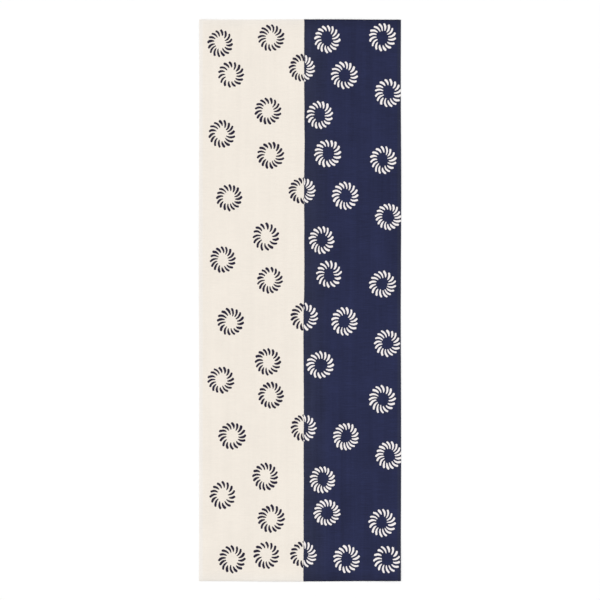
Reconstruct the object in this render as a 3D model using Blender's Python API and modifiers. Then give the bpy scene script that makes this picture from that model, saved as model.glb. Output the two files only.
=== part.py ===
"""A tenugui: one flat length of thin plain-woven cotton, left cream on one half and dyed navy on the other.

The cloth lies face up on a surface. +X runs across its width to the right, +Y up its length and +Z off the
surface. The origin is under the middle of the cloth, at the height of the surface. Lengths are in metres.
"""

from collections import namedtuple
from math import cos, pi

import bpy

# Driving dimensions
CLOTH_WIDTH = 0.335  # selvedge to selvedge: the full width of a narrow bolt
CLOTH_LENGTH = 0.931  # from cut end to cut end
CLOTH_THICKNESS = 0.001
DYE_BORDER_X = 0.0064  # the line where the cream half meets the navy half, right of the middle

# The cloth is divided into this many cells, an equal number on each side of the dye border.
CELLS_ACROSS_A_HALF = 10
CELLS_ALONG = 56

# Each edge draws in from the true rectangle by a soft wave. A selvedge waves along the length, and a cut
# end waves across the width. waves and phase are in whole turns from one end of the edge to the other.
Edge = namedtuple("Edge", "draw_in waves phase")
LEFT_SELVEDGE = Edge(draw_in=0.0007, waves=1.6, phase=0.10)
RIGHT_SELVEDGE = Edge(draw_in=0.0006, waves=2.3, phase=0.45)
UPPER_CUT = Edge(draw_in=0.0005, waves=1.2, phase=0.30)
LOWER_CUT = Edge(draw_in=0.0007, waves=0.9, phase=0.55)

# The cloth lies flat but for these low, soft lifts of its rim. across and along place the middle of a lift,
# and reach_across and reach_along say how far it spreads, as shares of the half width and the half length.
Lift = namedtuple("Lift", "across along reach_across reach_along rise")
LIFTS = (
    Lift(across=-1.00, along=1.00, reach_across=0.50, reach_along=0.20, rise=0.0009),
    Lift(across=0.35, along=1.00, reach_across=0.45, reach_along=0.12, rise=0.0005),
    Lift(across=1.00, along=0.46, reach_across=0.30, reach_along=0.26, rise=0.0006),
    Lift(across=-1.00, along=0.22, reach_across=0.28, reach_along=0.22, rise=0.0005),
    Lift(across=1.00, along=-0.24, reach_across=0.26, reach_along=0.20, rise=0.0004),
    Lift(across=-1.00, along=-0.52, reach_across=0.30, reach_along=0.24, rise=0.0006),
    Lift(across=-0.20, along=-1.00, reach_across=0.50, reach_along=0.14, rise=0.0005),
    Lift(across=1.00, along=-1.00, reach_across=0.46, reach_along=0.22, rise=0.0010),
)

Finish = namedtuple("Finish", "name base_color roughness")
CREAM_HALF = Finish("undyed cream cotton", (0.876, 0.812, 0.737, 1.0), 0.85)
NAVY_HALF = Finish("navy dyed cotton", (0.028, 0.032, 0.070, 1.0), 0.85)


def clear_scene():
    for old in list(bpy.data.objects):
        bpy.data.objects.remove(old, do_unlink=True)


def make_material(finish):
    material = bpy.data.materials.new(finish.name)
    material.use_nodes = True
    surface = material.node_tree.nodes["Principled BSDF"]
    surface.inputs["Base Color"].default_value = finish.base_color
    surface.inputs["Roughness"].default_value = finish.roughness
    surface.inputs["Metallic"].default_value = 0.0
    material.diffuse_color = finish.base_color
    return material


def drawn_in(edge, share):
    """How far an edge stands in from the true rectangle, at a share from -1 to 1 of the way along it."""
    turns = edge.waves * (share + 1) / 2 + edge.phase
    return edge.draw_in * (1 - cos(2 * pi * turns)) / 2


def rise_at(across, along):
    """How high the underside stands off the surface: zero over nearly all of the cloth."""
    height = 0.0
    for lift in LIFTS:
        from_middle = ((across - lift.across) / lift.reach_across) ** 2
        from_middle += ((along - lift.along) / lift.reach_along) ** 2
        if from_middle < 1:
            height += lift.rise * (1 - from_middle) ** 2
    return height


def place_on_cloth(across, along):
    """The underside's point at shares of the half width and half length: across is 0 on the dye border."""
    if across < 0:
        selvedge = -CLOTH_WIDTH / 2 + drawn_in(LEFT_SELVEDGE, along)
    else:
        selvedge = CLOTH_WIDTH / 2 - drawn_in(RIGHT_SELVEDGE, along)
    x = DYE_BORDER_X + (selvedge - DYE_BORDER_X) * abs(across)
    if along < 0:
        y = along * (CLOTH_LENGTH / 2 - drawn_in(LOWER_CUT, across))
    else:
        y = along * (CLOTH_LENGTH / 2 - drawn_in(UPPER_CUT, across))
    return x, y, rise_at(2 * x / CLOTH_WIDTH, 2 * y / CLOTH_LENGTH)


def make_cloth(collection):
    # The grid starts from -1 to 1 each way, so that its points are shares of the half width and half length.
    bpy.ops.mesh.primitive_grid_add(
        x_subdivisions=2 * CELLS_ACROSS_A_HALF, y_subdivisions=CELLS_ALONG, size=2
    )
    cloth = bpy.context.object
    cloth.name = "tenugui_cloth"
    cloth.data.name = "tenugui_cloth"
    for old in list(cloth.users_collection):
        old.objects.unlink(cloth)
    collection.objects.link(cloth)

    for vertex in cloth.data.vertices:
        across, along, _ = vertex.co
        vertex.co = place_on_cloth(across, along)

    cloth.data.materials.append(make_material(CREAM_HALF))
    cloth.data.materials.append(make_material(NAVY_HALF))
    for face in cloth.data.polygons:
        face.material_index = 1 if face.center.x > DYE_BORDER_X else 0
        face.use_smooth = True

    # The grid is the underside, and the thickness is added above it.
    thickness = cloth.modifiers.new("thickness", "SOLIDIFY")
    thickness.thickness = CLOTH_THICKNESS
    thickness.offset = 1.0
    return cloth


def main():
    clear_scene()
    tenugui = bpy.data.collections.new("tenugui")
    bpy.context.scene.collection.children.link(tenugui)
    make_cloth(tenugui)


main()
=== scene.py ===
"""A tenugui in its finished looks: thin plain-woven cotton, cream on one half and navy on the other, with
scattered rings of twisted petal strokes. The cloth lies flat, face up, and is seen from straight above.

Sizes are in metres, and the materials' patterns in millimetres. +X runs to the navy selvedge, +Y to the
upper cut end and +Z off the floor.
"""

from collections import namedtuple
from functools import partial
from math import copysign, cos, hypot, pi, radians, tau
from random import Random

import bpy
import numpy as np
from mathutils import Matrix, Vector, noise


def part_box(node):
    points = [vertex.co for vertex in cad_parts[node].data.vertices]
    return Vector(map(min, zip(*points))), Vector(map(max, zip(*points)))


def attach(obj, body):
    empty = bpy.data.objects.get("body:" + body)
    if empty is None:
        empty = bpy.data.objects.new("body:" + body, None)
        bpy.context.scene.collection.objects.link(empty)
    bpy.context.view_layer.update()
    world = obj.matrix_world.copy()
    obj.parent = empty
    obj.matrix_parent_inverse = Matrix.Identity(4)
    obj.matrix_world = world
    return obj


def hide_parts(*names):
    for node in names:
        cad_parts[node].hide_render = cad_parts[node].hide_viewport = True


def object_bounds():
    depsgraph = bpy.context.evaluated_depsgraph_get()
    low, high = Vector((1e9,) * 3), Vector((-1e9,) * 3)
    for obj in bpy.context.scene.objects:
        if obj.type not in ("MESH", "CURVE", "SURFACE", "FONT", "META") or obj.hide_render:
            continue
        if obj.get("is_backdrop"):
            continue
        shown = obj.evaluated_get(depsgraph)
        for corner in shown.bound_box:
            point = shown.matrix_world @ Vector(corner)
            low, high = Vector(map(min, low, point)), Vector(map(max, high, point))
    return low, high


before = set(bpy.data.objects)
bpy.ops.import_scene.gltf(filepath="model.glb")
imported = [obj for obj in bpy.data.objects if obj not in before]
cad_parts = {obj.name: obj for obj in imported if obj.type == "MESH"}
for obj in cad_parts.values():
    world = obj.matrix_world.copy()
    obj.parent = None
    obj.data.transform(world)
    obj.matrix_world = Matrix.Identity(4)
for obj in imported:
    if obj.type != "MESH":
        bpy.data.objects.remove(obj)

bl_info = {
    "name": "Tenugui",
    "version": (1, 0, 0),
    "blender": (4, 5, 0),
    "location": "View3D > Sidebar > Tenugui",
    "description": "A dyed cotton tenugui, laid flat, with its edge threads and a plain studio",
    "category": "Object",
}

NODE = "tenugui_cloth"
BODY = "root"
FRAME_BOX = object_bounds()
LOW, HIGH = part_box(NODE)
MM = 0.001

# The cloth's edges in the photograph, in pixels of its square frame
PHOTO_FRAME = 600
PHOTO_LEFT, PHOTO_RIGHT = 198.8, 401.2
PHOTO_TOP, PHOTO_BOTTOM = 19.4, 581.3

# Each edge draws in from the true rectangle by a soft wave, in whole turns from end to end.
Edge = namedtuple("Edge", "draw_in waves phase")
LEFT_SELVEDGE = Edge(draw_in=0.0007, waves=1.6, phase=0.10)
RIGHT_SELVEDGE = Edge(draw_in=0.0006, waves=2.3, phase=0.45)
UPPER_CUT = Edge(draw_in=0.0005, waves=1.2, phase=0.30)
LOWER_CUT = Edge(draw_in=0.0007, waves=0.9, phase=0.55)

# The low, soft lifts of the rim, placed and sized in shares of the half width and the half length
Lift = namedtuple("Lift", "across along reach_across reach_along rise")
LIFTS = (
    Lift(across=-1.00, along=1.00, reach_across=0.50, reach_along=0.20, rise=0.0009),
    Lift(across=0.35, along=1.00, reach_across=0.45, reach_along=0.12, rise=0.0005),
    Lift(across=1.00, along=0.46, reach_across=0.30, reach_along=0.26, rise=0.0006),
    Lift(across=-1.00, along=0.22, reach_across=0.28, reach_along=0.22, rise=0.0005),
    Lift(across=1.00, along=-0.24, reach_across=0.26, reach_along=0.20, rise=0.0004),
    Lift(across=-1.00, along=-0.52, reach_across=0.30, reach_along=0.24, rise=0.0006),
    Lift(across=-0.20, along=-1.00, reach_across=0.50, reach_along=0.14, rise=0.0005),
    Lift(across=1.00, along=-1.00, reach_across=0.46, reach_along=0.22, rise=0.0010),
)

# One repeat of the rings, charted to the nearest 5 mm: across from the middle of the cloth, and
# along down from where the repeat begins
Place = namedtuple("Place", "across along")
REPEAT = (
    Place(across=0.045, along=0.015),
    Place(across=0.135, along=0.030),
    Place(across=-0.050, along=0.020),
    Place(across=0.005, along=0.080),
    Place(across=-0.115, along=0.090),
    Place(across=0.075, along=0.090),
    Place(across=0.145, along=0.125),
    Place(across=-0.055, along=0.155),
    Place(across=0.035, along=0.160),
    Place(across=-0.130, along=0.190),
)
# Where each repeat begins, down from the upper cut end. The first comes in over that end, and the last runs
# out over the lower one.
REPEATS_BEGIN = (-0.205, 0.000, 0.205, 0.410, 0.600, 0.805)
STROKE_COUNTS = (15, 16, 16, 16, 16, 17)

# How far a ring's size may stray, and by how much it is at least and at most longer than wide, as shares
SIZE_STRAY = 0.025
LEAST_LONG, MOST_LONG = -0.02, 0.08
PULL = 1.25  # how far a ring that is too near a cut end is pulled in, for each metre that it is too near
RING_SEED = 34
THREAD_SEED = 5

# One ring on the cloth: its centre, its turn in radians, the number of its strokes, and its size across and
# along as shares of the true size
Ring = namedtuple("Ring", "x y turn count size_across size_along")

# Names of the two face attributes that tell the dye of a face's nearest ring
RING_PLACE = "ring_place"  # centre across and along in millimetres, and turn in radians
RING_CUT = "ring_cut"  # number of strokes, and its size across and along as shares of the true size

# Half the width, in millimetres, over which a dyed edge fades within one thread
DYE_EDGE = 0.16

# How high the threads at the edges start above the underside, as a share of the thickness
THREAD_HEIGHT = 0.3


def linear(hex_colour):
    """An sRGB colour such as '#F1E9DF' as linear red, green and blue."""
    parts = [int(hex_colour[i : i + 2], 16) / 255 for i in (1, 3, 5)]
    return tuple(c / 12.92 if c <= 0.04045 else ((c + 0.055) / 1.055) ** 2.4 for c in parts)


def opaque(colour):
    """A linear colour with its full opacity, as a colour socket takes it."""
    return (*colour, 1.0)


class ClothSizes(bpy.types.PropertyGroup):
    """Sizes of the cloth and its threads."""

    width: bpy.props.FloatProperty(
        name="Width", description="From selvedge to selvedge", default=HIGH.x - LOW.x, unit="LENGTH"
    )
    length: bpy.props.FloatProperty(
        name="Length", description="From cut end to cut end", default=HIGH.y - LOW.y, unit="LENGTH"
    )
    thickness: bpy.props.FloatProperty(
        name="Thickness",
        description="Of the single layer of cloth",
        default=0.00045,
        unit="LENGTH",
        precision=5,
    )
    cell: bpy.props.FloatProperty(
        name="Cell",
        description="Size of one face of the cloth's mesh",
        default=0.0035,
        unit="LENGTH",
        precision=4,
    )
    dye_border: bpy.props.FloatProperty(
        name="Dye border",
        description="Where the cream half meets the navy half, right of the middle",
        default=0.0064,
        unit="LENGTH",
        precision=4,
    )
    selvedge: bpy.props.FloatProperty(
        name="Selvedge",
        description="Width of the denser band along each long edge",
        default=0.0064,
        unit="LENGTH",
        precision=4,
    )
    thread_pitch: bpy.props.FloatProperty(
        name="Thread pitch",
        description="From one thread to the next, both ways",
        default=0.00053,
        unit="LENGTH",
        precision=5,
    )


class RingSizes(bpy.types.PropertyGroup):
    """Sizes of the rings of strokes and how they stand on the cloth."""

    outer_radius: bpy.props.FloatProperty(
        name="Outer radius",
        description="Out to the broad ends of the strokes",
        default=0.0221,
        unit="LENGTH",
    )
    hole_radius: bpy.props.FloatProperty(
        name="Hole radius",
        description="Out to the narrow ends of the strokes",
        default=0.0104,
        unit="LENGTH",
    )
    dark_width: bpy.props.FloatProperty(
        name="Dark stroke",
        description="Greatest width of a dyed stroke",
        default=0.0040,
        unit="LENGTH",
    )
    light_width: bpy.props.FloatProperty(
        name="Light stroke",
        description="Greatest width of an undyed stroke",
        default=0.0033,
        unit="LENGTH",
    )
    narrow_end: bpy.props.FloatProperty(
        name="Narrow end",
        description="Width of a stroke's inner end as a share of its greatest",
        default=0.45,
        subtype="FACTOR",
    )
    twist: bpy.props.FloatProperty(
        name="Twist",
        description="How far a stroke turns on its way out",
        default=radians(17),
        subtype="ANGLE",
    )
    scatter: bpy.props.FloatProperty(
        name="Scatter",
        description="How far a ring strays from its place",
        default=0.003,
        unit="LENGTH",
    )
    clear_of_ends: bpy.props.FloatProperty(
        name="Clear of ends",
        description="Least way from a ring's centre to a cut end",
        default=0.029,
        unit="LENGTH",
    )
    pulled_in: bpy.props.FloatProperty(
        name="Pulled in",
        description="How far past that a place still gets a ring",
        default=0.062,
        unit="LENGTH",
    )
    apart: bpy.props.FloatProperty(
        name="Apart",
        description="Least way between the centres of two rings",
        default=0.05,
        unit="LENGTH",
    )


class DyeColours(bpy.types.PropertyGroup):
    """Colours of the bare and the dyed cotton."""

    cream: bpy.props.FloatVectorProperty(
        name="Cream half",
        description="Ground of the left half",
        default=linear("#F5EDE2"),
        subtype="COLOR",
    )
    navy: bpy.props.FloatVectorProperty(
        name="Navy half",
        description="Ground of the right half",
        default=linear("#24294A"),
        subtype="COLOR",
    )
    dark: bpy.props.FloatVectorProperty(
        name="Dark strokes",
        description="Strokes on the cream half",
        default=linear("#241F35"),
        subtype="COLOR",
    )
    light: bpy.props.FloatVectorProperty(
        name="Light strokes",
        description="Strokes on the navy half, kept white under the paste",
        default=linear("#FBF5F3"),
        subtype="COLOR",
    )


class StudioSettings(bpy.types.PropertyGroup):
    """The light and the camera."""

    key: bpy.props.FloatProperty(name="Key light", description="Strength of the key light", default=1.53)
    fill: bpy.props.FloatProperty(
        name="Fill light", description="Strength of the light all round", default=0.62
    )
    lens: bpy.props.FloatProperty(
        name="Lens",
        description="Focal length in millimetres",
        default=85.0,
        subtype="DISTANCE_CAMERA",
    )


def add_node(tree, kind, inputs=(), **settings):
    """Adds a node, sets its own settings, then fills its inputs, in order or by name. Each input takes a
    value, a socket, or another node, whose first socket that is in use is then linked."""
    node = tree.nodes.new(kind)
    for name, value in settings.items():
        setattr(node, name, value)
    sockets = [s for s in node.inputs if s.enabled]
    named = {s.name: s for s in reversed(sockets)}
    pairs = inputs.items() if isinstance(inputs, dict) else enumerate(inputs)
    for key, value in pairs:
        socket = named[key] if isinstance(key, str) else sockets[key]
        if isinstance(value, bpy.types.Node):
            value = next(s for s in value.outputs if s.enabled)
        if isinstance(value, bpy.types.NodeSocket):
            tree.links.new(value, socket)
        else:
            socket.default_value = value
    return node


MATH, VECTOR = "ShaderNodeMath", "ShaderNodeVectorMath"
MAP, MIX = "ShaderNodeMapRange", "ShaderNodeMix"
NOISE, CHANCE = "ShaderNodeTexNoise", "ShaderNodeTexWhiteNoise"
COMBINE, SEPARATE = "ShaderNodeCombineXYZ", "ShaderNodeSeparateXYZ"
COORDINATES, ATTRIBUTE = "ShaderNodeTexCoord", "ShaderNodeAttribute"
BUMP, SURFACE, OUTPUT = "ShaderNodeBump", "ShaderNodeBsdfPrincipled", "ShaderNodeOutputMaterial"


def new_material(name):
    """A material with an empty tree, and the function that adds nodes to it."""
    material = bpy.data.materials.new(name)
    material.use_nodes = True
    material.node_tree.nodes.clear()
    return material, partial(add_node, material.node_tree)


Weave = namedtuple("Weave", "crossing height yarn fibre")


def plain_weave(add, place, cloth):
    """A plain weave: the number of the crossing, the height of the thread on top, how thick its yarn is and
    the run of its fibres. The threads lie half a millimetre apart and show one by one in a near view. That
    is too fine to show in the main view, so the unevenness of the yarns is drawn coarse enough to show
    there: as streaks of 1 to 15 mm, where a real thick yarn is under a millimetre wide."""
    pitch = cloth.thread_pitch / MM

    # The threads wander by a millimetre or so over some 60 mm, as the cloth was stretched and washed.
    wander_over, wander_by = 60, 1.6
    wander = add(NOISE, {"Vector": place, "Scale": 1 / wander_over, "Detail": 1.0}).outputs["Color"]
    wander = add(VECTOR, [wander, (wander_by, wander_by, 0.0), place], operation="MULTIPLY_ADD")

    # The yarns are uneven. The warp shows as faint streaks down the length, 1 to 15 mm wide, and the weft
    # as short ones across. Where the yarn is thicker the threads also stand further apart.
    warp_wide, warp_long = 15, 600
    weft_long, weft_wide = 24, 1.2
    down = add(VECTOR, [wander, (1 / warp_wide, 1 / warp_long, 0.0)], operation="MULTIPLY")
    warp_yarn = add(NOISE, {"Vector": down, "Scale": 1.0, "Detail": 5.0, "Roughness": 0.78})
    over = add(VECTOR, [wander, (1 / weft_long, 1 / weft_wide, 0.0)], operation="MULTIPLY")
    weft_yarn = add(NOISE, {"Vector": over, "Scale": 1.0, "Detail": 2.0, "Roughness": 0.7})
    yarns = add(COMBINE, [warp_yarn, weft_yarn, 0.0])
    warp_pushed, weft_pushed = 2.0, 1.2  # at most, in threads
    threads = add(VECTOR, [wander, (1 / pitch, 1 / pitch, 0.0)], operation="MULTIPLY")
    threads = add(VECTOR, [yarns, (warp_pushed, weft_pushed, 0.0), threads], operation="MULTIPLY_ADD")

    # Each warp thread goes over one weft thread and under the next, and its neighbours do so by turns. Both
    # sets are round. What is seen is the higher of the two, and between four crossings there is a pin-hole.
    crossing = add(VECTOR, [threads], operation="FLOOR")
    waves = add(VECTOR, [threads, (pi, pi, 0.0)], operation="MULTIPLY")
    waves = add(SEPARATE, [add(VECTOR, [waves], operation="SINE")])
    across, along = waves.outputs["X"], waves.outputs["Y"]
    warp_round = add(MATH, [across], operation="ABSOLUTE")
    weft_round = add(MATH, [along], operation="ABSOLUTE")
    warp_bow = add(MATH, [add(MATH, [across], operation="SIGN"), along], operation="MULTIPLY")
    weft_bow = add(MATH, [add(MATH, [along], operation="SIGN"), across], operation="MULTIPLY")
    warp_top = add(MATH, [warp_round, 2.0, warp_bow], operation="MULTIPLY_ADD")
    weft_top = add(MATH, [weft_round, 2.0], operation="MULTIPLY")
    weft_top = add(MATH, [weft_top, weft_bow], operation="SUBTRACT")
    height = add(MATH, [warp_top, weft_top], operation="MAXIMUM")
    warp_shows = add(MATH, [warp_top, weft_top], operation="GREATER_THAN")
    yarn = add(MIX, {"Factor": warp_shows, "A": weft_yarn, "B": warp_yarn}, data_type="FLOAT")

    # The fibres run along their yarn, a little slanted by its twist, and are five times finer across it.
    twist = 0.4
    both = add(SEPARATE, [threads])
    slanted_warp = add(MATH, [both.outputs["Y"], twist, both.outputs["X"]], operation="MULTIPLY_ADD")
    slanted_weft = add(MATH, [both.outputs["X"], twist, both.outputs["Y"]], operation="MULTIPLY_ADD")
    weft_fibre, warp_fibre = (1.0, 5.0, 0.0), (5.0, 1.0, 0.0)
    finer = add(MIX, {"Factor": warp_shows, "A": weft_fibre, "B": warp_fibre}, data_type="VECTOR")
    fibre = add(COMBINE, [slanted_warp, slanted_weft, 0.0])
    fibre = add(VECTOR, [fibre, finer], operation="MULTIPLY")
    fibre = add(NOISE, {"Vector": fibre, "Scale": 1.0, "Detail": 1.0})
    return Weave(crossing, height, yarn, fibre)


def stroke_share(add, place, side, rings):
    """How much a stroke covers the cloth, from 0 to 1. A stroke is a comma with round ends: it starts
    narrow at the ring's hole, swells on its way out and leans over counter-clockwise."""
    hole, rim = rings.hole_radius / MM, rings.outer_radius / MM
    centre = add(ATTRIBUTE, attribute_name=RING_PLACE).outputs["Vector"]
    turn = add(SEPARATE, [centre]).outputs["Z"]
    cut = add(SEPARATE, [add(ATTRIBUTE, attribute_name=RING_CUT).outputs["Vector"]])
    count, size_across, size_along = cut.outputs["X"], cut.outputs["Y"], cut.outputs["Z"]

    # Round the ring's centre, by radius and angle
    size = add(COMBINE, [size_across, size_along, 1.0])
    from_centre = add(VECTOR, [place, centre], operation="SUBTRACT")
    from_centre = add(VECTOR, [from_centre, (1.0, 1.0, 0.0)], operation="MULTIPLY")
    from_centre = add(VECTOR, [from_centre, size], operation="DIVIDE")
    radius = add(VECTOR, [from_centre], operation="LENGTH")
    both_ways = add(SEPARATE, [from_centre])
    angle = add(MATH, [both_ways.outputs["Y"], both_ways.outputs["X"]], operation="ARCTAN2")

    # The line of a stroke turns by the square of its way out, so it leaves the hole straight.
    outward = add(MAP, [radius, hole, rim, 0.0, 1.0], clamp=False)
    outward = add(MATH, [outward, 0.0], operation="MAXIMUM")
    turned = add(MATH, [outward, outward], operation="MULTIPLY")
    turned = add(MATH, [turned, rings.twist, turn], operation="MULTIPLY_ADD")
    angle = add(MATH, [angle, turned], operation="SUBTRACT")
    per_turn = add(MATH, [count, tau], operation="DIVIDE")
    strokes = add(MATH, [angle, per_turn], operation="MULTIPLY")
    which = add(MATH, [add(MATH, [strokes], operation="FLOOR"), count], operation="FLOORED_MODULO")

    # No two strokes are cut quite alike: both ends stray, in millimetres, and so do the stroke's place and
    # its width, in shares of the way to the next stroke and of the greatest width. The ring's turn, which is
    # its own, also serves to draw other chances in each ring.
    inner_stray, outer_stray, place_stray, width_stray = 1.5, 0.85, 0.04, 0.12
    stray = add(CHANCE, [add(COMBINE, [which, turn, 0.0])], noise_dimensions="3D")
    spans = (2 * inner_stray, 2 * outer_stray, 2 * place_stray)
    starts = (hole - inner_stray, rim - outer_stray, -0.5 - place_stray)
    ends = add(VECTOR, [stray.outputs["Color"], spans, starts], operation="MULTIPLY_ADD")
    ends = add(SEPARATE, [ends])
    inner, outer, shift = ends.outputs["X"], ends.outputs["Y"], ends.outputs["Z"]

    # The hole is longer than wide, and it stands a little off the middle, another way in each ring.
    hole_longer, hole_off_middle = 0.75, 0.75
    twice = add(MATH, [add(MATH, [angle, turn], operation="ADD"), 2.0], operation="MULTIPLY")
    lengthwise = add(MATH, [twice], operation="COSINE")
    inner = add(MATH, [lengthwise, -hole_longer, inner], operation="MULTIPLY_ADD")
    one_way = add(MATH, [angle], operation="COSINE")
    inner = add(MATH, [one_way, hole_off_middle, inner], operation="MULTIPLY_ADD")
    uneven = add(MAP, [stray.outputs["Value"], 0.0, 1.0, 1 - width_stray, 1 + width_stray])
    dark_half, light_half = rings.dark_width / MM / 2, rings.light_width / MM / 2
    broad = add(MATH, [add(MAP, [side, 0.0, 1.0, dark_half, light_half]), uneven], operation="MULTIPLY")
    narrow = add(MATH, [broad, rings.narrow_end], operation="MULTIPLY")

    # From the ring's round measure to the stroke's own: square to its leaning line, and along it
    aside = add(MATH, [add(MATH, [strokes], operation="FRACT"), shift], operation="ADD")
    aside = add(MATH, [add(MATH, [aside, radius], operation="MULTIPLY"), per_turn], operation="DIVIDE")
    slope = add(MATH, [outward, 2 * rings.twist / (rim - hole)], operation="MULTIPLY")
    slope = add(MATH, [slope, radius], operation="MULTIPLY")
    lean = add(VECTOR, [add(COMBINE, [slope, 1.0, 0.0])], operation="NORMALIZE")
    lean = add(SEPARATE, [lean])
    square = add(MATH, [aside, lean.outputs["Y"]], operation="MULTIPLY")
    longer = (2 * rings.twist * rim / (rim - hole)) ** 2 * (rim - hole) / 6
    along = add(MATH, [outward, 3.0], operation="POWER")
    along = add(MATH, [along, longer, radius], operation="MULTIPLY_ADD")
    along = add(MATH, [aside, lean.outputs["X"], along], operation="MULTIPLY_ADD")

    # The stroke is a row of discs along its line, and the broadest is nearly three quarters of the way out.
    first = add(MATH, [inner, narrow], operation="ADD")
    last = add(MATH, [add(MATH, [outer, longer], operation="ADD"), broad], operation="SUBTRACT")
    share = add(MAP, [along, first, last, 0.0, 1.0])
    past = add(MATH, [along, add(MAP, [share, 0.0, 1.0, first, last])], operation="SUBTRACT")
    away = add(VECTOR, [add(COMBINE, [square, past, 0.0])], operation="LENGTH")
    broadest = 0.73
    from_broadest = add(MATH, [share, broadest], operation="SUBTRACT")
    from_broadest = add(MATH, [from_broadest, 2.0], operation="POWER")
    swelling = add(MAP, [from_broadest, 0.0, broadest**2, broad, narrow])
    inside = add(MATH, [swelling, away], operation="SUBTRACT")
    return add(MAP, [inside, -DYE_EDGE, DYE_EDGE, 0.0, 1.0], interpolation_type="SMOOTHSTEP")


def grounds(add, place, past_border, cloth, colours):
    """The cream and the navy ground. The threads lie closer in the selvedges, which look whiter where they
    are bare and greyer where they are dyed. The navy is also paler towards the border, up to which it was
    laid by hand. Both grounds turn darker towards the cut ends, and in their last few millimetres painted
    shade stands for the loosened threads shading each other."""
    # Where each tint starts and is full, in millimetres, and how much of it shows there
    selvedge_fade, selvedge_tint = 1.2, 0.85
    end_shade_from, end_shade_to = 3.5, 1.5
    ends_darker_from, ends_darker_to, ends_darker_tint = 18.0, 5.0, 0.4
    paler_to, paler_from, paler_tint = 2.0, 45.0, 0.9

    half_width, half_length = cloth.width / MM / 2, cloth.length / MM / 2
    band = half_width - cloth.selvedge / MM
    from_middle = add(SEPARATE, [add(VECTOR, [place], operation="ABSOLUTE")])
    across, along = from_middle.outputs["X"], from_middle.outputs["Y"]
    selvedge = add(MAP, [across, band - selvedge_fade, band + selvedge_fade, 0.0, selvedge_tint])
    # Painted shade over the last few millimetres of each cut end, for the loosened threads shading each
    # other
    painted_end_shade = add(MAP, [along, half_length - end_shade_from, half_length - end_shade_to, 0.0, 1.0])
    # Darker colour over the last 18 mm towards each cut end
    toward_ends_darker = add(MAP, [along, half_length - ends_darker_from, half_length - ends_darker_to, 0.0, ends_darker_tint])
    # Both together: painted shade and darker colour at the cut ends
    end = add(MATH, [painted_end_shade, toward_ends_darker], operation="MAXIMUM")
    paler = add(MAP, [past_border, paler_to, paler_from, paler_tint, 0.0])
    paler = add(MATH, [selvedge, paler], operation="MAXIMUM")

    cream, navy = opaque(colours.cream), opaque(colours.navy)
    white_selvedge, grey_selvedge = opaque(linear("#F4EFE9")), opaque(linear("#2A2E46"))
    # Colours of the cut ends: painted shade and darker colour together
    cream_shade_and_darker_end, navy_shade_and_darker_end = opaque(linear("#EFEAE3")), opaque(linear("#1A1D35"))
    cream = add(MIX, {"Factor": selvedge, "A": cream, "B": white_selvedge}, data_type="RGBA")
    cream = add(MIX, {"Factor": end, "A": cream, "B": cream_shade_and_darker_end}, data_type="RGBA")
    navy = add(MIX, {"Factor": paler, "A": navy, "B": grey_selvedge}, data_type="RGBA")
    navy = add(MIX, {"Factor": end, "A": navy, "B": navy_shade_and_darker_end}, data_type="RGBA")
    return cream, navy


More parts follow.
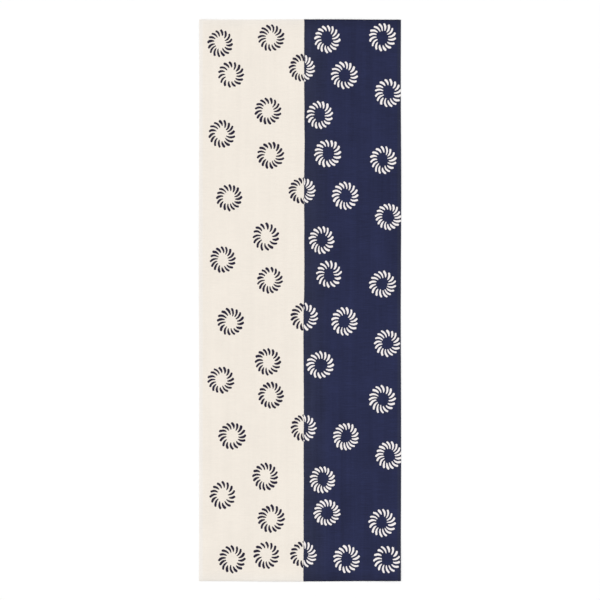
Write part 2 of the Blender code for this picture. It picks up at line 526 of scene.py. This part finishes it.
def woven_cotton(cloth, rings, colours):
    """Plain-woven cotton, dyed through with a paste resist. It is matt, each thread takes the dye a little
    differently, and the edge of a dyed shape is ragged by half a thread."""
    material, add = new_material("plain-woven cotton, paste-resist dyed")
    place = add(VECTOR, [add(COORDINATES).outputs["Object"]], operation="SCALE")
    place.inputs["Scale"].default_value = 1 / MM
    place = add(VECTOR, [place, (1.0, 1.0, 0.0)], operation="MULTIPLY")
    weave = plain_weave(add, place, cloth)

    # The dye creeps up to half a thread past its line, by another way at each crossing, and the stencil's
    # hand-cut line strays by a third of a millimetre over 14 mm.
    creep_by, hand_over, hand_by = 0.275, 14, 0.75
    creep = add(CHANCE, [weave.crossing], noise_dimensions="3D").outputs["Color"]
    span, start = (2 * creep_by, 2 * creep_by, 0.0), (-creep_by, -creep_by, 0.0)
    creep = add(VECTOR, [creep, span, start], operation="MULTIPLY_ADD")
    crept = add(VECTOR, [place, creep], operation="ADD")
    hand = add(NOISE, {"Vector": place, "Scale": 1 / hand_over, "Detail": 0.0}).outputs["Color"]
    span, start = (2 * hand_by, 2 * hand_by, 0.0), (-hand_by, -hand_by, 0.0)
    hand = add(VECTOR, [hand, span, start], operation="MULTIPLY_ADD")
    cut = add(VECTOR, [crept, hand], operation="ADD")

    # The border between the halves leans by a millimetre and a half over the length, and drifts by less.
    drift_over, drift_by, lean_over = 170, 2.0, 620
    both_ways = add(SEPARATE, [crept])
    across, along = both_ways.outputs["X"], both_ways.outputs["Y"]
    drift = add(MATH, [along, 1 / drift_over], operation="MULTIPLY")
    drift = add(NOISE, {"W": drift, "Scale": 1.0}, noise_dimensions="1D")
    border = cloth.dye_border / MM
    border = add(MAP, [drift, 0.0, 1.0, border - drift_by, border + drift_by])
    border = add(MATH, [along, 1 / lean_over, border], operation="MULTIPLY_ADD")
    past_border = add(MATH, [across, border], operation="SUBTRACT")
    side = add(MAP, [past_border, -DYE_EDGE, DYE_EDGE, 0.0, 1.0], interpolation_type="SMOOTHSTEP")

    # A stroke turns each half to its other self: dyed on the cream half, and bare on the navy half.
    stroke = stroke_share(add, cut, side, rings)
    dyed = add(MATH, [add(MATH, [side, stroke], operation="SUBTRACT")], operation="ABSOLUTE")
    cream, navy = grounds(add, place, past_border, cloth, colours)
    dark, light = opaque(colours.dark), opaque(colours.light)
    bare = add(MIX, {"Factor": side, "A": cream, "B": light}, data_type="RGBA")
    dye = add(MIX, {"Factor": side, "A": dark, "B": navy}, data_type="RGBA")
    colour = add(MIX, {"Factor": dyed, "A": bare, "B": dye}, data_type="RGBA")

    # Dyed yarn shows its unevenness far more than bare yarn, and the whole ground is a little cloudy. The
    # gaps between the threads are painted darker than their crowns, as painted shade, and the crowns a
    # little lighter, as a faint painted highlight.
    mean_yarn, single_by, cloud_by, fibre_by = 0.5, 0.04, 0.16, 0.08
    cloud_over, bare_strength, dyed_strength = 55, 0.22, 1.7
    single = add(CHANCE, [weave.crossing], noise_dimensions="2D")
    single = add(MAP, [single, 0.0, 1.0, -single_by, single_by])
    cloud = add(NOISE, {"Vector": place, "Scale": 1 / cloud_over, "Detail": 2.0})
    cloud = add(MAP, [cloud, 0.0, 1.0, -mean_yarn - cloud_by, -mean_yarn + cloud_by])
    fibre = add(MAP, [weave.fibre, 0.2, 0.8, -fibre_by, fibre_by])
    uneven = add(MATH, [weave.yarn, single], operation="ADD")
    uneven = add(MATH, [uneven, cloud], operation="ADD")
    uneven = add(MATH, [uneven, fibre], operation="ADD")
    strength = add(MAP, [dyed, 0.0, 1.0, bare_strength, dyed_strength])
    # Painted shade in the gaps between the threads, and a faint painted highlight on their crowns
    painted_gap_shade = add(MAP, [weave.height, 0.4, 2.2, 0.80, 1.02])
    # The yarns' own uneven tone, by its strength, plus the painted shade of the gaps
    shade = add(MATH, [uneven, strength, painted_gap_shade], operation="MULTIPLY_ADD")
    colour = add(VECTOR, {"Vector": colour, "Scale": shade}, operation="SCALE")

    # The relief of the weave, of the yarns' uneven thickness and of their fibres, in shares of the threads'
    # own rise
    thread_rise, yarn_by, fibre_by = 0.04 * MM, 1.2, 0.5
    yarn = add(MAP, [weave.yarn, 0.0, 1.0, -yarn_by, yarn_by])
    fibre = add(MAP, [weave.fibre, 0.0, 1.0, -fibre_by, fibre_by])
    height = add(MATH, [yarn, weave.height], operation="ADD")
    height = add(MATH, [height, fibre], operation="ADD")
    relief = add(BUMP, {"Height": height, "Distance": thread_rise, "Strength": 1.0})

    # Roughness is high all over and a little lower where a thread's crown is pressed smooth.
    roughness = add(MAP, [weave.height, 0.5, 3.0, 0.93, 0.84])
    surface = add(SURFACE, {"Base Color": colour, "Roughness": roughness, "Normal": relief})
    surface.inputs["Specular IOR Level"].default_value = 0.2
    surface.inputs["Sheen Weight"].default_value = 0.06
    surface.inputs["Sheen Roughness"].default_value = 0.5
    add(OUTPUT, {"Surface": surface})
    return material


def loose_thread(cloth, colours):
    """Cotton thread left free at the cloth's edge: untwisting, so it is a little uneven and fuzzy."""
    material, add = new_material("cotton thread, cut and untwisting")
    place = add(COORDINATES).outputs["Object"]
    across = add(SEPARATE, [place]).outputs["X"]
    side = add(MATH, [across, cloth.dye_border], operation="GREATER_THAN")
    cream, navy = opaque(colours.cream), opaque(colours.navy)
    colour = add(MIX, {"Factor": side, "A": cream, "B": navy}, data_type="RGBA")
    fibre_size = 0.3 * MM
    fibre = add(NOISE, {"Vector": place, "Scale": 1 / fibre_size, "Detail": 2.0})
    shade = add(MAP, [fibre, 0.0, 1.0, 0.85, 1.2])
    colour = add(VECTOR, {"Vector": colour, "Scale": shade}, operation="SCALE")
    relief = add(BUMP, {"Height": fibre, "Distance": 0.05 * MM, "Strength": 1.0})
    surface = add(SURFACE, {"Base Color": colour, "Roughness": 0.9, "Normal": relief})
    surface.inputs["Specular IOR Level"].default_value = 0.2
    surface.inputs["Sheen Weight"].default_value = 0.1
    surface.inputs["Sheen Roughness"].default_value = 0.5
    add(OUTPUT, {"Surface": surface})
    return material


def painted_board():
    """A board painted matt white, with the faint orange-peel of a roller."""
    material, add = new_material("matt white paint, rolled")
    place = add(COORDINATES).outputs["Object"]
    peel_size = 3 * MM
    peel = add(NOISE, {"Vector": place, "Scale": 1 / peel_size, "Detail": 1.0})
    relief = add(BUMP, {"Height": peel, "Distance": 0.02 * MM, "Strength": 1.0})
    surface = add(SURFACE, {"Base Color": opaque(linear("#FCFCFC")), "Normal": relief})
    surface.inputs["Roughness"].default_value = 0.9
    surface.inputs["Specular IOR Level"].default_value = 0.2
    add(OUTPUT, {"Surface": surface})
    return material


def drawn_in(edge, share):
    """How far an edge stands in from the true rectangle, at a share from -1 to 1 of the way along it."""
    turns = edge.waves * (share + 1) / 2 + edge.phase
    return edge.draw_in * (1 - cos(2 * pi * turns)) / 2


def rise_at(across, along):
    """How high the underside stands off the floor, apart from its small ripples."""
    height = 0.0
    for lift in LIFTS:
        from_middle = ((across - lift.across) / lift.reach_across) ** 2
        from_middle += ((along - lift.along) / lift.reach_along) ** 2
        if from_middle < 1:
            height += lift.rise * (1 - from_middle) ** 2
    return height


def ripple_at(x, y, from_rim):
    """The cloth's small ripples: broad and very low all over, and shorter and higher near the rim."""
    broad_wide, broad_long, broad_high = 0.09, 0.13, 0.15 * MM
    short_wide, short_high, rim_reach = 0.045, 0.35 * MM, 0.03
    broad = 0.5 + 0.5 * noise.noise(Vector((x / broad_wide, y / broad_long, 0.0)))
    short = 0.5 + 0.5 * noise.noise(Vector((x / short_wide, y / short_wide, 7.0)))
    near_rim = max(0.0, 1 - from_rim / rim_reach) ** 2
    return broad_high * broad + short_high * short * near_rim


def spread(share, half, cells, rim):
    """A grid's share, -1 to 1, as a place from -half to half, with outermost cells as narrow as the rim."""
    steps = share * cells / 2
    if abs(steps) > cells / 2 - 0.5:
        return half if share > 0 else -half
    return steps * (half - rim) / (cells / 2 - 1)


def on_cloth(cloth, x, y):
    """The underside's point for a place on the true rectangle."""
    half_width, half_length = cloth.width / 2, cloth.length / 2
    across, along = x / half_width, y / half_length
    left, right = drawn_in(LEFT_SELVEDGE, along), drawn_in(RIGHT_SELVEDGE, along)
    upper, lower = drawn_in(UPPER_CUT, across), drawn_in(LOWER_CUT, across)
    from_rim = min(half_width - abs(x), half_length - abs(y))
    z = rise_at(across, along) + ripple_at(x, y, from_rim)
    x -= across * (right if x > 0 else left)
    y -= along * (upper if y > 0 else lower)
    return Vector((x, y, z))


def ring_places(cloth, rings):
    """Every ring on the cloth. A place near a cut end or a little past it is pulled in, so that no ring is
    cut there, and one too near an earlier ring stays empty."""
    chance = Random(RING_SEED)
    half_length = cloth.length / 2
    furthest = half_length - rings.clear_of_ends
    places = []
    for begins in REPEATS_BEGIN:
        for place in REPEAT:
            x = place.across + chance.uniform(-rings.scatter, rings.scatter)
            y = half_length - begins - place.along
            y += chance.uniform(-rings.scatter, rings.scatter)
            turn, count = chance.uniform(0, tau), chance.choice(STROKE_COUNTS)
            size = chance.uniform(1 - SIZE_STRAY, 1 + SIZE_STRAY)
            longer = chance.uniform(LEAST_LONG, MOST_LONG)
            past = max(0.0, abs(y) - furthest)
            if past > rings.pulled_in:
                continue
            y -= copysign(PULL * past, y)
            if all(hypot(x - other.x, y - other.y) > rings.apart for other in places):
                places.append(Ring(x, y, turn, count, size - longer / 2, size + longer / 2))
    return places


def link_to(collection_name, piece):
    """Moves a piece into a collection, which is made when it isn't there yet."""
    collection = bpy.data.collections.get(collection_name)
    if collection is None:
        collection = bpy.data.collections.new(collection_name)
        bpy.context.scene.collection.children.link(collection)
    for old in list(piece.users_collection):
        old.objects.unlink(piece)
    collection.objects.link(piece)


class LayCloth(bpy.types.Operator):
    """Lays the cloth out flat, face up, with its rings dyed in."""

    bl_idname = "tenugui.lay_cloth"
    bl_label = "Lay the cloth"

    def execute(self, context):
        cloth, rings = context.scene.tenugui_cloth, context.scene.tenugui_rings
        piece = self.grid(cloth)
        self.mark_rings(piece.data, ring_places(cloth, rings))
        self.map_for_baking(piece.data, cloth)
        self.thicken(piece, cloth)
        piece.data.materials.clear()
        piece.data.materials.append(woven_cotton(cloth, rings, context.scene.tenugui_colours))
        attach(piece, BODY)
        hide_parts(NODE)
        return {"FINISHED"}

    def grid(self, cloth):
        """The underside: even cells, with a narrow row at each edge for its rounding."""
        columns, rows = (2 * round(size / cloth.cell / 2) for size in (cloth.width, cloth.length))
        bpy.ops.mesh.primitive_grid_add(x_subdivisions=columns, y_subdivisions=rows, size=2)
        piece = bpy.context.object
        piece.name = piece.data.name = "cloth"
        link_to("tenugui", piece)
        rim = 0.5 * MM
        body = piece.vertex_groups.new(name="body")
        for vertex in piece.data.vertices:
            across, along, _ = vertex.co
            on_edge = max(abs(across), abs(along)) > 0.9999
            body.add([vertex.index], 0.0 if on_edge else 1.0, "REPLACE")
            x = spread(across, cloth.width / 2, columns, rim)
            y = spread(along, cloth.length / 2, rows, rim)
            vertex.co = on_cloth(cloth, x, y)
        return piece

    def mark_rings(self, mesh, places):
        """Gives each face the place and the cut of its nearest ring."""
        centres = np.array([(ring.x, ring.y) for ring in places])
        faces = np.array([face.center[:2] for face in mesh.polygons])
        nearest = np.linalg.norm(faces[:, None] - centres[None], axis=2).argmin(1)
        place_of = [(ring.x / MM, ring.y / MM, ring.turn) for ring in places]
        cut_of = [(ring.count, ring.size_across, ring.size_along) for ring in places]
        for name, values in ((RING_PLACE, place_of), (RING_CUT, cut_of)):
            attribute = mesh.attributes.new(name, "FLOAT_VECTOR", "FACE")
            attribute.data.foreach_set("vector", np.array(values, np.float32)[nearest].ravel())

    def map_for_baking(self, mesh, cloth):
        """A flat map with the two halves of the length side by side, so that a square holds them large."""
        gap = 4 * MM
        side = 2 * cloth.width + 3 * gap
        mesh.uv_layers.remove(mesh.uv_layers[0])
        layer = mesh.uv_layers.new(name="OFBake")
        for face in mesh.polygons:
            upper = face.center.y > 0
            for loop in face.loop_indices:
                x, y, _ = mesh.vertices[mesh.loops[loop].vertex_index].co
                u = gap + x + cloth.width / 2 + (cloth.width + gap) * upper
                v = gap + y + cloth.length / 2 * (not upper)
                layer.data[loop].uv = (u / side, v / side)

    def thicken(self, piece, cloth):
        """Adds the thickness above the underside, thinner at the rim, which rounds the edge."""
        shell = piece.modifiers.new("thickness", "SOLIDIFY")
        shell.thickness = cloth.thickness
        shell.offset = 1.0
        shell.vertex_group = "body"
        shell.thickness_vertex_group = 0.5
        bpy.context.view_layer.objects.active = piece
        bpy.ops.object.modifier_apply(modifier=shell.name)
        piece.vertex_groups.clear()
        piece.data.shade_smooth()
        sharp_from = radians(50)
        piece.data.set_sharp_from_angle(angle=sharp_from)


class EdgeThreads(bpy.types.Operator):
    """Adds the warp ends that stand out of the cuts and the weft turns along the selvedges."""

    bl_idname = "tenugui.edge_threads"
    bl_label = "Add the edge threads"

    def execute(self, context):
        cloth, colours = context.scene.tenugui_cloth, context.scene.tenugui_colours
        piece = bpy.data.objects.get("cloth")
        if piece is None:
            raise RuntimeError("lay the cloth first")
        material = loose_thread(cloth, colours)
        chance = Random(THREAD_SEED)
        ends = self.strands("cut_ends", self.warp_ends(cloth, chance), material)
        turns = self.strands("selvedge_turns", self.weft_turns(cloth, chance), material)
        return {"FINISHED"}

    def warp_ends(self, cloth, chance):
        """Short tips at both cut ends, each a list of points and radii, bent and of uneven length."""
        pitch, middle = cloth.thread_pitch, THREAD_HEIGHT * cloth.thickness
        # In millimetres, at least and at most, and the share of the tips that are longer
        usual_length, longer_by, usual_radius = (0.15, 0.65), (0.3, 1.0), (0.09, 0.13)
        longer_share = 0.04
        held_inside = 0.5 * MM
        for end in (1, -1):
            for i in range(1, int(cloth.width / pitch)):
                x = -cloth.width / 2 + i * pitch + chance.uniform(-0.2, 0.2) * pitch
                root = on_cloth(cloth, x, end * cloth.length / 2)
                length = chance.uniform(*usual_length) * MM
                if chance.random() < longer_share:
                    length += chance.uniform(*longer_by) * MM
                radius = chance.uniform(*usual_radius) * MM
                lean, sway = chance.uniform(-0.4, 0.4), chance.uniform(-0.2, 0.2)
                lift = chance.uniform(-0.2, 0.25)
                points = [(root + Vector((0.0, -end * held_inside, middle)), radius)]
                for out, thick in ((0.0, 1.0), (0.35, 1.0), (0.7, 0.9), (1.0, 0.6)):
                    aside = length * (lean * out**2 + sway * cos(pi * out))
                    point = root + Vector((aside, end * length * out, middle + lift * length * out))
                    point.z = max(point.z, radius * thick)
                    points.append((point, radius * thick))
                yield points

    def weft_turns(self, cloth, chance):
        """A small turn at each selvedge for every second weft thread, where it goes back into the cloth."""
        pitch, middle = cloth.thread_pitch, THREAD_HEIGHT * cloth.thickness
        # In millimetres, at least and at most
        usual_radius, usual_stand_out = (0.11, 0.14), (0.02, 0.14)
        for side in (1, -1):
            for i in range(1, int(cloth.length / pitch), 2):
                y = -cloth.length / 2 + (i + (side > 0)) * pitch
                if abs(y) > cloth.length / 2 - pitch:
                    continue
                radius = chance.uniform(*usual_radius) * MM
                stand_out = chance.uniform(*usual_stand_out) * MM
                points = []
                for turn in (-1.0, -0.6, -0.25, 0.25, 0.6, 1.0):
                    root = on_cloth(cloth, side * cloth.width / 2, y + turn * pitch * 0.6)
                    out = stand_out - (stand_out + 2 * radius) * turn**2
                    points.append((root + Vector((side * out, 0.0, max(middle, radius))), radius))
                yield points

    def strands(self, name, lines, material):
        """One mesh of thin round strands along the given lines."""
        curve = bpy.data.curves.new(name, "CURVE")
        curve.dimensions = "3D"
        curve.bevel_depth = 1.0
        curve.bevel_resolution = 1
        curve.use_fill_caps = True
        for line in lines:
            spline = curve.splines.new("POLY")
            spline.points.add(len(line) - 1)
            for point, (place, radius) in zip(spline.points, line):
                point.co = (*place, 1.0)
                point.radius = radius
        drawn = bpy.data.objects.new(name, curve)
        bpy.context.scene.collection.objects.link(drawn)
        evaluated = drawn.evaluated_get(bpy.context.evaluated_depsgraph_get())
        mesh = bpy.data.meshes.new_from_object(evaluated)
        bpy.data.objects.remove(drawn)
        bpy.data.curves.remove(curve)
        mesh.name = name
        mesh.shade_smooth()
        mesh.materials.clear()
        mesh.materials.append(material)
        strands = bpy.data.objects.new(name, mesh)
        link_to("tenugui", strands)
        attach(strands, BODY)
        return strands


class SetStage(bpy.types.Operator):
    """Sets the plain floor, the soft light and the camera straight above the cloth."""

    bl_idname = "tenugui.set_stage"
    bl_label = "Set the stage"

    def execute(self, context):
        studio = context.scene.tenugui_studio
        self.floor()
        self.lights(context.scene, studio)
        self.camera(context.scene, studio, context.scene.tenugui_cloth)
        context.scene.view_settings.view_transform = "Standard"
        return {"FINISHED"}

    def floor(self):
        """A wide floor just under the cloth, so that no view shows its end."""
        below = 0.2 * MM
        bpy.ops.mesh.primitive_circle_add(
            vertices=64, radius=20.0, fill_type="NGON", location=(0, 0, -below)
        )
        floor = bpy.context.object
        floor.name = floor.data.name = "floor"
        link_to("stage", floor)
        floor.data.materials.append(painted_board())
        floor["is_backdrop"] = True

    def lights(self, scene, studio):
        """Even light all round, and a large soft key from the upper left."""
        world = bpy.data.worlds.new("studio")
        world.use_nodes = True
        world.node_tree.nodes.clear()
        add = partial(add_node, world.node_tree)
        # What is seen past the floor's end is as pale as the floor, whatever the strength of the light.
        floor_brightness = 0.98
        seen = add("ShaderNodeLightPath").outputs["Is Camera Ray"]
        strength = {"Factor": seen, "A": studio.fill, "B": floor_brightness}
        strength = add(MIX, strength, data_type="FLOAT")
        background = add("ShaderNodeBackground", {"Color": (1.0, 1.0, 1.0, 1.0), "Strength": strength})
        add("ShaderNodeOutputWorld", {"Surface": background})
        scene.world = world
        sun = bpy.data.lights.new("key", "SUN")
        sun.energy = studio.key
        sun.angle = radians(14)
        key = bpy.data.objects.new("key", sun)
        key.rotation_euler = (radians(-20), radians(-24), 0.0)
        link_to("stage", key)

    def camera(self, scene, studio, cloth):
        """Straight above, with the cloth's edges where the photograph has them."""
        per_pixel = cloth.length / (PHOTO_BOTTOM - PHOTO_TOP)
        lens = bpy.data.cameras.new("camera")
        lens.lens = studio.lens
        away = PHOTO_FRAME * per_pixel * lens.lens / lens.sensor_width
        camera = bpy.data.objects.new("camera", lens)
        camera.location = (
            (PHOTO_FRAME / 2 - (PHOTO_LEFT + PHOTO_RIGHT) / 2) * per_pixel,
            ((PHOTO_TOP + PHOTO_BOTTOM) / 2 - PHOTO_FRAME / 2) * per_pixel,
            away + cloth.thickness,
        )
        link_to("stage", camera)
        scene.camera = camera


class TenuguiPanel(bpy.types.Panel):
    """Sizes, colours and steps of the tenugui."""

    bl_idname = "VIEW3D_PT_tenugui"
    bl_label = "Tenugui"
    bl_space_type = "VIEW_3D"
    bl_region_type = "UI"
    bl_category = "Tenugui"

    def draw(self, context):
        for name, group in SETTINGS.items():
            box = self.layout.box()
            for setting in group.__annotations__:
                box.prop(getattr(context.scene, name), setting)
        for step in STEPS:
            self.layout.operator(step.bl_idname)


SETTINGS = {
    "tenugui_cloth": ClothSizes,
    "tenugui_rings": RingSizes,
    "tenugui_colours": DyeColours,
    "tenugui_studio": StudioSettings,
}
STEPS = (LayCloth, EdgeThreads, SetStage)


def register():
    for group in (*SETTINGS.values(), *STEPS, TenuguiPanel):
        bpy.utils.register_class(group)
    for name, group in SETTINGS.items():
        setattr(bpy.types.Scene, name, bpy.props.PointerProperty(type=group))


def unregister():
    for name in SETTINGS:
        delattr(bpy.types.Scene, name)
    for group in reversed((*SETTINGS.values(), *STEPS, TenuguiPanel)):
        bpy.utils.unregister_class(group)


def main():
    register()
    bpy.ops.tenugui.lay_cloth()
    bpy.ops.tenugui.edge_threads()
    bpy.ops.tenugui.set_stage()
    boxes = {"cad": FRAME_BOX, "visual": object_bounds()}
    {name: [list(corner) for corner in box] for name, box in boxes.items()}


if __name__ == "__main__":
    main()
